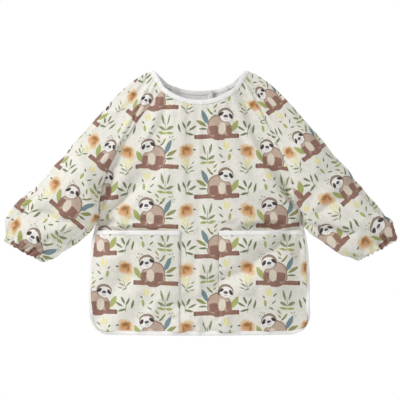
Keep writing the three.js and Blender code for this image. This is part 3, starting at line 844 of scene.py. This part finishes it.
def cell(n, spot, shift_x, shift_y, half_drop):
    """A place within a repeating cell, in millimetres from its middle, every other column mirrored."""
    parts = n.node("ShaderNodeSeparateXYZ", {"Vector": spot})
    across = n.math("DIVIDE", n.math("ADD", parts.outputs["X"], shift_x), CELL_WIDE)
    column = n.math("FLOOR", across)
    odd = n.math("FLOORED_MODULO", column, 2)
    x = n.math("SUBTRACT", n.math("SUBTRACT", across, column), 0.5)
    sign = n.math("MULTIPLY_ADD", odd, -2 * CELL_WIDE, CELL_WIDE)
    y = n.math("ADD", n.math("DIVIDE", n.math("ADD", parts.outputs["Y"], shift_y), CELL_HIGH), 0.5)
    if half_drop:
        y = n.math("MULTIPLY_ADD", odd, 0.5, y)
    y = n.math("MULTIPLY", n.math("SUBTRACT", n.math("FRACT", y), 0.5), CELL_HIGH)
    joined = n.node("ShaderNodeCombineXYZ", {"X": n.math("MULTIPLY", x, sign), "Y": y})
    return joined.outputs[0]


def print_group():
    """The printed pattern as one node group, from the cloth's own flat coordinates."""
    group = bpy.data.node_groups.new("botanical_print", "ShaderNodeTree")
    group.interface.new_socket("Colour", in_out="OUTPUT", socket_type="NodeSocketColor")
    group.interface.new_socket("Flat", in_out="OUTPUT", socket_type="NodeSocketVector")
    n = Nodes(group)
    flat = n.node("ShaderNodeUVMap", uv_map="pattern").outputs[0]
    flat = n.vector("MULTIPLY", flat, (1000, 1000, 0))
    wander = n.noise(flat, 0.16, 2, 0.6, "Color")
    wander = n.vector("MULTIPLY", n.vector("SUBTRACT", wander, (0.5, 0.5, 0.5)), (2.6, 2.6, 0))
    spot = n.vector("ADD", flat, wander)
    wash = n.noise(flat, 0.10, 4, 0.62)
    colour = n.tinted(GROUND, GROUND_SHADE, n.ramp(wash, 0.35, 0.75))
    # Flowers lie between the columns of animals, and sprigs between one animal and the next
    at = cell(n, spot, ACROSS_BY, UP_BY - FLOWER_DROP + CELL_HIGH / 2, False)
    stray = n.vector("SUBTRACT", n.noise(at, 0.33, 3, 0.7, "Color"), (0.5, 0.5, 0.5))
    ruffled = n.vector("ADD", at, n.vector("MULTIPLY", stray, (11, 11, 0)))
    colour = painted(n, at, colour, FLOWER_WISPS)
    colour = painted(n, ruffled, colour, FLOWER_PETALS)
    colour = painted(n, at, colour, FLOWER_LEAVES)
    at = cell(n, spot, ACROSS_BY + CELL_WIDE / 2, UP_BY + CELL_HIGH / 2, True)
    colour = painted(n, at, colour, SPRIG)
    at = cell(n, spot, ACROSS_BY + CELL_WIDE / 2, UP_BY, True)
    fur = n.ramp(n.noise(n.placed(at, (0, 0), 62, (1, 3.2)), 0.75, 3, 0.7), 0.38, 0.62)
    colour = painted(n, at, colour, ANIMAL, fur)
    tone = n.ramp(n.noise(spot, 0.42, 3, 0.7), 0.25, 0.75, (0.84, 1.06), "LINEAR")
    fine = n.ramp(n.noise(flat, 1.6, 2, 0.7), 0.2, 0.8, (0.93, 1.04), "LINEAR")
    shade = n.math("MULTIPLY", tone, fine)
    colour = n.multiplied(colour, n.grey(shade))
    out = n.node("NodeGroupOutput")
    n.put(out.inputs["Colour"], colour)
    n.put(out.inputs["Flat"], flat)
    return group


def weave(n, flat, pitch):
    """Height of a plain weave, threads pitch millimetres apart."""
    parts = n.node("ShaderNodeSeparateXYZ", {"Vector": flat})
    across = n.math("SINE", n.math("MULTIPLY", parts.outputs["X"], 2 * math.pi / pitch))
    up = n.math("SINE", n.math("MULTIPLY", parts.outputs["Y"], 2 * math.pi / pitch))
    return n.math("MULTIPLY_ADD", n.math("MULTIPLY", across, up), 0.5, 0.5)


def bumped(n, shader, height, strength, distance=1 * MM):
    bump = n.node("ShaderNodeBump", {"Height": height, "Strength": strength, "Distance": distance})
    n.put(shader.inputs["Normal"], bump.outputs[0])


def finish_surface(n, shader, flat, pitch, roughness, strength):
    """Weave and soft creases in the normal, and a roughness that varies with the cloth's rubbing."""
    thread = weave(n, flat, pitch)
    crease = n.noise(flat, 0.05, 4, 0.6)
    rub = n.noise(flat, 0.03, 3, 0.55)
    n.put(shader.inputs["Roughness"], n.ramp(rub, 0.3, 0.7, (roughness - 0.06, roughness + 0.06), "LINEAR"))
    height = n.math("MULTIPLY_ADD", crease, 3.0, n.math("MULTIPLY", thread, 0.12))
    bumped(n, shader, height, strength)


def new_material(name):
    material = bpy.data.materials.new(name)
    material.use_nodes = True
    n = Nodes(material.node_tree)
    material.node_tree.nodes.clear()
    shader = n.node("ShaderNodeBsdfPrincipled")
    n.node("ShaderNodeOutputMaterial", {"Surface": shader.outputs[0]})
    return material, n, shader


PRINT = print_group()


def printed_cloth():
    material, n, shader = new_material("printed_cloth")
    pattern = n.node("ShaderNodeGroup")
    pattern.node_tree = PRINT
    n.put(shader.inputs["Base Color"], pattern.outputs["Colour"])
    shader.inputs["Sheen Weight"].default_value = 0.25
    shader.inputs["Sheen Roughness"].default_value = 0.4
    shader.inputs["Specular IOR Level"].default_value = 0.35
    finish_surface(n, shader, pattern.outputs["Flat"], 0.7, 0.62, 0.55)
    return material


def reverse_cloth():
    """The unprinted side: white, with the print just showing through."""
    material, n, shader = new_material("reverse_cloth")
    pattern = n.node("ShaderNodeGroup")
    pattern.node_tree = PRINT
    pale = n.tinted(linear(236, 235, 234), pattern.outputs["Colour"], 0.14)
    n.put(shader.inputs["Base Color"], pale)
    shader.inputs["Sheen Weight"].default_value = 0.2
    shader.inputs["Specular IOR Level"].default_value = 0.35
    finish_surface(n, shader, pattern.outputs["Flat"], 0.7, 0.66, 0.45)
    return material


def position_mm(n):
    """The surface's own place on the object, in millimetres."""
    return n.vector("MULTIPLY", n.node("ShaderNodeTexCoord").outputs["Object"], (1000, 1000, 1000))


def plain_cloth(name, colour, pitch, roughness, sheen=0.3, tone=(0.93, 1.03)):
    material, n, shader = new_material(name)
    place = position_mm(n)
    value = n.ramp(n.noise(place, 0.09, 4, 0.6), 0.3, 0.7, tone, "LINEAR")
    n.put(shader.inputs["Base Color"], n.multiplied(colour, n.grey(value)))
    shader.inputs["Sheen Weight"].default_value = sheen
    shader.inputs["Specular IOR Level"].default_value = 0.35
    parts = n.node("ShaderNodeSeparateXYZ", {"Vector": place})
    ribs = n.math("SINE", n.math("MULTIPLY", parts.outputs["X"], 2 * math.pi / pitch))
    rows = n.math("SINE", n.math("MULTIPLY", parts.outputs["Z"], 2 * math.pi / pitch))
    thread = n.math("MULTIPLY", ribs, rows)
    pucker = n.noise(place, 0.35, 3, 0.6)
    height = n.math("MULTIPLY_ADD", pucker, 0.7, n.math("MULTIPLY", thread, 0.08))
    bumped(n, shader, height, 0.6)
    span = (roughness - 0.08, roughness + 0.08)
    n.put(shader.inputs["Roughness"], n.ramp(pucker, 0.3, 0.7, span, "LINEAR"))
    return material


def fastener(name, hooks):
    """Hook-and-loop tape: a fine grid of hooks, or a tangle of loops, with painted shade: the low hollows
    between them are coloured darker.
    """
    material, n, shader = new_material(name)
    place = position_mm(n)
    if hooks:
        cells = n.node("ShaderNodeTexVoronoi", {"Vector": place, "Scale": 0.75})
        cells.inputs["Randomness"].default_value = 0.15
        bumps = n.ramp(cells.outputs["Distance"], 0.0, 0.5, (1, 0))
    else:
        bumps = n.noise(place, 1.3, 5, 0.75)
    # Painted shade: the colour follows the height, darker where the tape lies low between the hooks or loops.
    tone = n.ramp(bumps, 0.1, 0.9)
    n.put(shader.inputs["Base Color"], n.tinted(linear(205, 204, 200), linear(244, 243, 240), tone))
    shader.inputs["Sheen Weight"].default_value = 0.1 if hooks else 0.5
    n.put(shader.inputs["Roughness"], n.ramp(bumps, 0, 1, (0.75, 0.5 if hooks else 0.9), "LINEAR"))
    bumped(n, shader, bumps, 0.9, 0.6 * MM)
    return material


CLOTH_MATERIALS = [printed_cloth(), reverse_cloth()]
TAPE = plain_cloth("binding_tape_cloth", linear(243, 242, 240), 0.55, 0.6)
THREAD = plain_cloth("sewing_thread", linear(232, 230, 226), 0.3, 0.5, 0.15)
ELASTIC = plain_cloth("knitted_elastic", linear(228, 227, 224), 0.9, 0.75)
HOOKS, LOOPS = fastener("hook_tape", True), fastener("loop_tape", False)

# ---- Seams, gathers and small wrinkles on the fine grids ----


def unit(v):
    return v / np.maximum(np.linalg.norm(v, axis=-1, keepdims=True), 1e-12)


SEAM_ROWS = 2 * SEAM_CELLS + 1
SEAM_SINK = 0.9 * MM
for side in ("left", "right"):
    sleeve = GRIDS[side + "_sleeve"]["points"]
    sleeve[:SEAM_ROWS, 0, 1] += SEAM_SINK
    sleeve[:SEAM_ROWS, -1, 1] -= SEAM_SINK
    GRIDS[side + "_back"]["points"][:, 0, 1] -= SEAM_SINK
for column in (0, -1):
    GRIDS["front"]["points"][:SEAM_ROWS, column, 1] += SEAM_SINK

# The cuffs
PLEATS = 21
PLEAT_REACH = 74 * MM
PLEAT_HEIGHT = 2.6 * MM
CASING_ROWS = 5


def gathered(points, outward, phase):
    """The sleeve's end drawn in by its elastic: pleats that grow from nothing to the cuff."""
    rows, columns = points.shape[:2]
    turn = np.linspace(-1, 1, columns) * np.pi
    ring_centre = points.mean(axis=1)
    left = np.linalg.norm(ring_centre - ring_centre[-1], axis=1)
    wander = 0.5 * np.sin(3 * turn + phase) + 0.35 * np.sin(5 * turn - 2 * phase)
    wave = np.cos(PLEATS * turn + 2.0 * wander)
    slow = np.cos(9 * turn + 2.4 * wander + phase)
    uneven = 1 + 0.35 * np.sin(4 * turn + 1.3 * phase)
    height = PLEAT_HEIGHT * (1 - smooth(left, 4 * MM, PLEAT_REACH)) ** 1.3
    puff = 5.0 * MM * smooth(left, 8 * MM, 34 * MM) * (1 - smooth(left, 34 * MM, 95 * MM))
    broad = 2.6 * MM * smooth(left, 6 * MM, 60 * MM) * (1 - smooth(left, 70 * MM, 150 * MM))
    out = height[:, None] * (wave * uneven)[None] + puff[:, None] + broad[:, None] * slow[None]
    tail = np.arange(rows)[:, None] >= SEAM_ROWS
    return points + outward * (out * tail)[..., None]


def cuff_turned_in(points, uv, outward):
    """The end folded inside as the elastic's casing."""
    tip = points[-1:] + 0.4 * MM * unit(points[-1:] - points[-2:-1]) - outward[-1:] * 0.9 * MM
    inside = points[-2 : -2 - CASING_ROWS : -1] - outward[-2 : -2 - CASING_ROWS : -1] * 2.2 * MM
    flat = np.concatenate([uv, uv[-1:], uv[-2 : -2 - CASING_ROWS : -1]])
    flat[len(uv) :] += 2 * (uv[-1:] - flat[len(uv) :])
    return np.concatenate([points, tip, inside]), flat


def outward_normals(points, flip):
    down, over = np.gradient(points, axis=0), np.gradient(points, axis=1)
    n = unit(np.cross(down, over))
    return n if flip else -n


# ---- Pieces' places baked into their meshes, and what they were cut to ----



def bend_sleeve(piece):
    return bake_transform(piece)


def bend_back(piece):
    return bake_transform(piece)


def cut_size(uv, points):
    """Width, length and area of the flat cut, from its pattern coordinates and its own surface."""
    size = uv.reshape(-1, 2).max(0) - uv.reshape(-1, 2).min(0)
    a, b, c, d = points[:-1, :-1], points[:-1, 1:], points[1:, 1:], points[1:, :-1]
    area = (np.linalg.norm(np.cross(c - a, d - b), axis=-1) / 2).sum()
    return size, area


def declare(uv, points):
    """Works out a cut rectangle that is never smaller than the piece's area, and the share of it that the
    piece fills; nothing is done with them.
    """
    size, area = cut_size(uv, points)
    size = size * max(1.0, math.sqrt(area / (size[0] * size[1])) * 1.001)
    share = min(1.0, max(0.3, area / (size[0] * size[1])))
    flat, area = tuple(map(float, size)), float(share * size[0] * size[1])


# ---- Tapes and stitches ----

# One side of a folded tape, from its inner edge to the fold: the share of its width, and its height in mm
TAPE_SECTION = [
    (1.0, 0.25), (0.97, 0.5), (0.86, 0.72), (0.6, 0.85), (0.3, 0.9), (0.08, 0.75), (-0.06, 0.35),
]
CLOTH_REACH = 0.2 * MM  # how far the cloth inside a tape reaches to each side of its middle
HEM_REACH = 1.1 * MM  # the same at the hem's front, where the pockets' edges lie inside too
TAPE_TOP = 0.78 * MM  # how far above what it holds a tape's stitches lie
ON_CLOTH = FABRIC / 2 + 0.05 * MM


def tape_piece(name, edge, inner, normal, front=CLOTH_REACH):
    """Binding folded over an edge; front is how far what it holds reaches out at the front."""
    into = unit(inner - edge)
    across = []
    wobble = 0.12 * MM * np.sin(np.arange(len(edge)) * 0.9) + 0.1 * MM * np.sin(np.arange(len(edge)) * 2.3)
    for a, b in TAPE_SECTION:
        across.append(edge + into * (a * BINDING + wobble[:, None] * (a > 0.5)) + normal * (front + b * MM))
    across.append(edge - into * 0.9 * MM)
    for a, b in reversed(TAPE_SECTION):
        across.append(edge + into * (a * BINDING) - normal * (CLOTH_REACH + b * MM))
    grid = np.stack(across, axis=1)
    piece = add_mesh(name, grid.reshape(-1, 3), grid_quads(len(edge), len(across)), [TAPE])
    return thickened(piece, 0.35 * MM)


STITCH, STITCH_GAP, THREAD_R = 2.5 * MM, 1.1 * MM, 0.26 * MM


def stitches(name, lines):
    """Rows of stitches along lines: each line is (points on the cloth, outward normals)."""
    points, faces = [], []
    for path, normals in lines:
        step = np.linalg.norm(np.diff(path, axis=0), axis=1)
        run = np.concatenate([[0], np.cumsum(step)])
        count = int(run[-1] / (STITCH + STITCH_GAP))
        starts = (np.arange(count) + 0.2) * (STITCH + STITCH_GAP)
        for begin in starts:
            where = begin + STITCH * np.array([0, 0.18, 0.5, 0.82, 1])
            centre = np.stack([np.interp(where, run, path[:, k]) for k in range(3)], -1)
            up = unit(np.stack([np.interp(where, run, normals[:, k]) for k in range(3)], -1))
            way = unit(centre[-1:] - centre[:1])
            side = unit(np.cross(way, up))
            lift = THREAD_R * np.array([-0.9, 0.35, 0.7, 0.35, -0.9])
            thick = THREAD_R * np.array([0.35, 0.9, 1, 0.9, 0.35])
            base = len(points)
            for k in range(5):
                for angle in np.arange(6) * np.pi / 3:
                    out, aside = lift[k] + thick[k] * math.sin(angle), thick[k] * math.cos(angle)
                    points.append(centre[k] + up[k] * out + side[k] * aside)
            for k in range(4):
                for j in range(6):
                    a, b = base + k * 6 + j, base + k * 6 + (j + 1) % 6
                    faces.append((a, b, b + 6, a + 6))
            faces.append(tuple(base + j for j in reversed(range(6))))
            faces.append(tuple(base + 24 + j for j in range(6)))
    return add_mesh(name, np.array(points), faces, [THREAD])


def tape_line(edge, inner, normal, out, share=0.8):
    """The line of stitches along a tape, near its inner edge."""
    into = unit(inner - edge)
    return edge + into * share * BINDING + normal * out, normal


# ---- The pieces ----

# Front panel and its bindings
front = GRIDS["front"]["points"]
front_normal = outward_normals(front, True)
front_cloth = sheet_piece("front_cloth", front, GRIDS["front"]["uv"], True)
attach(front_cloth, "smock")
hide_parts("front_panel")


def edge_stations(grid, normals, indices):
    """The grid's own points along its edge, the points about 7 mm inside, and the normals there."""
    edge, inner, up = [], [], []
    rows, columns = grid.shape[:2]
    for r, c in indices:
        r, c = r % rows, c % columns
        ir = 2 if r == 0 else (rows - 3 if r == rows - 1 else r)
        ic = 2 if c == 0 else (columns - 3 if c == columns - 1 else c)
        edge.append(grid[r, c])
        inner.append(grid[ir, ic])
        up.append(normals[min(max(r, 1), rows - 2), min(max(c, 1), columns - 2)])
    return np.array(edge), np.array(inner), np.array(up)


rows, columns = front.shape[:2]
HEM_PATH = [(r, 0) for r in range(SEAM_ROWS + 1, rows)]
HEM_PATH += [(rows - 1, c) for c in range(1, columns - 1)]
HEM_PATH += [(r, columns - 1) for r in range(rows - 1, SEAM_ROWS, -1)]
hem_edge, hem_inner, hem_up = edge_stations(front, front_normal, HEM_PATH)
hem_tape = tape_piece("hem_tape", hem_edge, hem_inner, hem_up, HEM_REACH)
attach(hem_tape, "smock")
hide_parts("hem_binding")
hem_line = tape_line(hem_edge, hem_inner, hem_up, HEM_REACH + TAPE_TOP)

# Sleeves
SLEEVES = {}
for side, phase in (("left", 0.7), ("right", 2.1)):
    grid = GRIDS[side + "_sleeve"]
    flip = side == "left"
    outward = outward_normals(grid["points"], flip)
    # The tube closes on itself past the armhole, so its two edges share one normal
    outward[SEAM_ROWS:, 0] = outward[SEAM_ROWS:, -1] = unit(outward[SEAM_ROWS:, 1] + outward[SEAM_ROWS:, -2])
    points = gathered(grid["points"], outward, phase)
    SLEEVES[side] = (points, outward)

neck_parts = []
for side in ("right", "left"):
    points, outward = SLEEVES[side]
    # Along the neckline every point's inside lies down its own column
    part = (points[0], points[2], outward[1])
    neck_parts.append(part if side == "left" else tuple(v[::-1] for v in part))
front_part = (front[0], front[2], front_normal[1])
neck_edge, neck_inner, neck_up = (
    np.concatenate([neck_parts[0][k][:-1], front_part[k], neck_parts[1][k][1:]]) for k in range(3)
)
neck_tape = tape_piece("neck_tape", neck_edge, neck_inner, neck_up)
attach(neck_tape, "smock")
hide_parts("neck_binding")
neck_line = tape_line(neck_edge, neck_inner, neck_up, CLOTH_REACH + TAPE_TOP)
body_stitches = stitches("smock_stitches", [hem_line, neck_line])
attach(body_stitches, "smock")
declare(GRIDS["front"]["uv"], front)

for side in ("left", "right"):
    points, outward = SLEEVES[side]
    flip = side == "left"
    full, uv = cuff_turned_in(points, GRIDS[side + "_sleeve"]["uv"], outward)
    sleeve = sheet_piece(side + "_sleeve_cloth", full, uv, flip)
    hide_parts(side + "_raglan", side + "_sleeve_bend", side + "_sleeve_tube", side + "_cuff_casing")
    bend_sleeve(sleeve)
    band = np.stack([points[-1 - k] - outward[-1 - k] * 1.15 * MM for k in (1, 2, 3)])
    elastic = add_mesh(side + "_elastic", band.reshape(-1, 3), grid_quads(*band.shape[:2]), [ELASTIC])
    thickened(elastic, 0.7 * MM)
    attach(elastic, side + "_sleeve")
    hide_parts(side + "_cuff_elastic")
    row = -CASING_ROWS
    cuff_line = (points[row] + outward[row] * ON_CLOTH, outward[row])
    cuff_stitches = stitches(side + "_cuff_stitches", [cuff_line])
    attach(cuff_stitches, side + "_sleeve")
    declare(uv, full)

# Back halves
for side in ("left", "right"):
    grid = GRIDS[side + "_back"]
    points = grid["points"]
    flip = side == "left"
    outward = outward_normals(points, flip)
    cloth_piece = sheet_piece(side + "_back_cloth", points, grid["uv"], flip)
    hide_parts(side + "_back_strip", side + "_back_flap")
    bend_back(cloth_piece)
    rows, columns = points.shape[:2]
    path = [(0, c) for c in range(columns)] + [(r, columns - 1) for r in range(1, rows)]
    edge, inner, up = edge_stations(points, outward, path)
    inner[0] = points[2, 0]
    inner[-1] = points[-1, columns - 3]
    tape = tape_piece(side + "_back_tape", edge, inner, up)
    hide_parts(side + "_back_neck_binding", side + "_back_edge_binding")
    bend_back(tape)
    low = (points[-3] + outward[-3] * ON_CLOTH, outward[-3])
    sewing = stitches(side + "_back_stitches", [tape_line(edge, inner, up, CLOTH_REACH + TAPE_TOP), low])
    bend_back(sewing)
    declare(grid["uv"], points)

# Pockets
front_tree = BVHTree.FromPolygons(
    (front + front_normal * FABRIC / 2).reshape(-1, 3).tolist(), grid_quads(*front.shape[:2]).tolist()
)
POCKET_GAP, POCKET_LIFT, POCKET_GAPE = 0.35 * MM, 1.8 * MM, 12.0 * MM
POCKET_WIDE, POCKET_HIGH = 46, 50
POCKET_EDGE_INSET = 3 * MM


def resampled(line, count):
    run = np.concatenate([[0], np.cumsum(np.linalg.norm(np.diff(line, axis=0), axis=1))])
    at = np.linspace(0, run[-1], count)
    return np.stack([np.interp(at, run, line[:, k]) for k in range(line.shape[1])], -1)


def pocket_outline():
    side = side_line(POCKET_TOP, POCKET_EDGE_INSET, 40, 8)
    corner = corner_arc(POCKET_EDGE_INSET, 1, 8)
    bottom = np.concatenate([[[POCKET_INNER, corner[-1, 1]]], corner[::-1]])
    top = np.stack([[POCKET_INNER, side[0, 0]], [POCKET_TOP, POCKET_TOP]], -1)
    left = np.stack([[POCKET_INNER, POCKET_INNER], [POCKET_TOP, corner[-1, 1]]], -1)
    top, bottom = resampled(top, POCKET_WIDE), resampled(bottom, POCKET_WIDE)
    return coons(top, resampled(side, POCKET_HIGH), bottom, resampled(left, POCKET_HIGH))


for side, sign in (("left", 1), ("right", -1)):
    flat = pocket_outline() * np.array([sign, 1])
    high, wide = flat.shape[:2]
    surface = np.empty((high, wide, 3))
    for r in range(high):
        for c in range(wide):
            x, z = flat[r, c]
            hit = front_tree.ray_cast(Vector((x, -1, z)), Vector((0, 1, 0)))[0]
            if hit is None:
                hit = front_tree.find_nearest(Vector((x, -0.05, z)))[0]
            surface[r, c] = (x, hit.y, z)
    up = 1 - np.linspace(0, 1, high)[:, None]
    u = np.linspace(0, 1, wide)[None]
    open_edge = smooth(up, 0, 1)
    slack = 0.9 * MM * np.cos(u * 17 + 1.1 * sign + up * 2.0) + 0.6 * MM * np.sin(u * 29 - sign)
    stand = POCKET_GAP + POCKET_LIFT * up + (POCKET_GAPE + slack * 1.2) * np.sin(np.pi * u) * open_edge
    stand = stand + 1.6 * MM * np.sin(np.pi * u) ** 0.5 * np.sin(np.pi * up) ** 0.6
    surface[..., 1] -= stand
    flip = side == "left"
    pocket = sheet_piece(side + "_pocket_cloth", surface, flat, flip)
    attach(pocket, "smock")
    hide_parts(side + "_pocket")
    outward = outward_normals(surface, flip)
    tape = tape_piece(side + "_pocket_tape", surface[0], surface[2], outward[1])
    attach(tape, "smock")
    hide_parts(side + "_pocket_binding")
    inner_seam = (surface[:, 1] + outward[:, 1] * (FABRIC / 2 + 0.1 * MM), outward[:, 1])
    top_line = tape_line(surface[0], surface[2], outward[1], CLOTH_REACH + TAPE_TOP)
    sewing = stitches(side + "_pocket_stitches", [top_line, inner_seam])
    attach(sewing, "smock")
    declare(flat, surface)

# Hook-and-loop patches keep their CAD shape
for level in ("upper", "lower"):
    for kind, material in (("hook", HOOKS), ("loop", LOOPS)):
        patch = frame["nodes"][f"{level}_{kind}_patch"]
        patch.data.materials.clear()
        patch.data.materials.append(material)

# ---- Camera, light and floor ----

camera_data = bpy.data.cameras.new("camera")
camera = bpy.data.objects.new("camera", camera_data)
bpy.context.scene.collection.objects.link(camera)
camera.location = (0.001, -3.0, -0.228)
camera.rotation_euler = (math.pi / 2, 0, 0)
camera_data.lens = camera_data.sensor_width / 2 / (0.38 / 2.96)
bpy.context.scene.camera = camera


def area_light(name, place, aim, size, power):
    data = bpy.data.lights.new(name, "AREA")
    data.shape, data.size, data.energy = "DISK", size, power
    light = bpy.data.objects.new(name, data)
    bpy.context.scene.collection.objects.link(light)
    light.location = place
    light.rotation_mode = "QUATERNION"
    light.rotation_quaternion = (Vector(place) - Vector(aim)).to_track_quat("Z", "Y")


MIDDLE = (0, 0, -0.23)
AMBIENT = 0.5
area_light("key", (-2.2, -1.5, 1.5), MIDDLE, 0.9, 62)
area_light("fill", (2.4, -1.6, -0.1), MIDDLE, 1.6, 14)
area_light("behind", (0.8, 2.4, 1.6), MIDDLE, 1.6, 40)

# A white backdrop that lights the object less than it shows
world = bpy.data.worlds.new("studio")
world.use_nodes = True
world.node_tree.nodes.clear()
sky = Nodes(world.node_tree)
seen = sky.node("ShaderNodeBackground", {"Strength": 1.0})
felt = sky.node("ShaderNodeBackground", {"Strength": AMBIENT})
seen.inputs["Color"].default_value = felt.inputs["Color"].default_value = (1, 1, 1, 1)
either = sky.node("ShaderNodeMixShader")
sky.put(either.inputs[0], sky.node("ShaderNodeLightPath").outputs["Is Camera Ray"])
sky.put(either.inputs[1], felt.outputs[0])
sky.put(either.inputs[2], seen.outputs[0])
sky.node("ShaderNodeOutputWorld", {"Surface": either.outputs[0]})
bpy.context.scene.world = world
bpy.context.scene.view_settings.view_transform = "Standard"

bpy.ops.mesh.primitive_circle_add(vertices=96, radius=1.0, fill_type="NGON", location=(0, 0, -0.75))
floor = bpy.context.object
floor.name = "floor"
pale, n, shader = new_material("pale_floor")
shader.inputs["Base Color"].default_value = (0.85, 0.85, 0.85, 1)
shader.inputs["Roughness"].default_value = 0.8
floor.data.materials.append(pale)
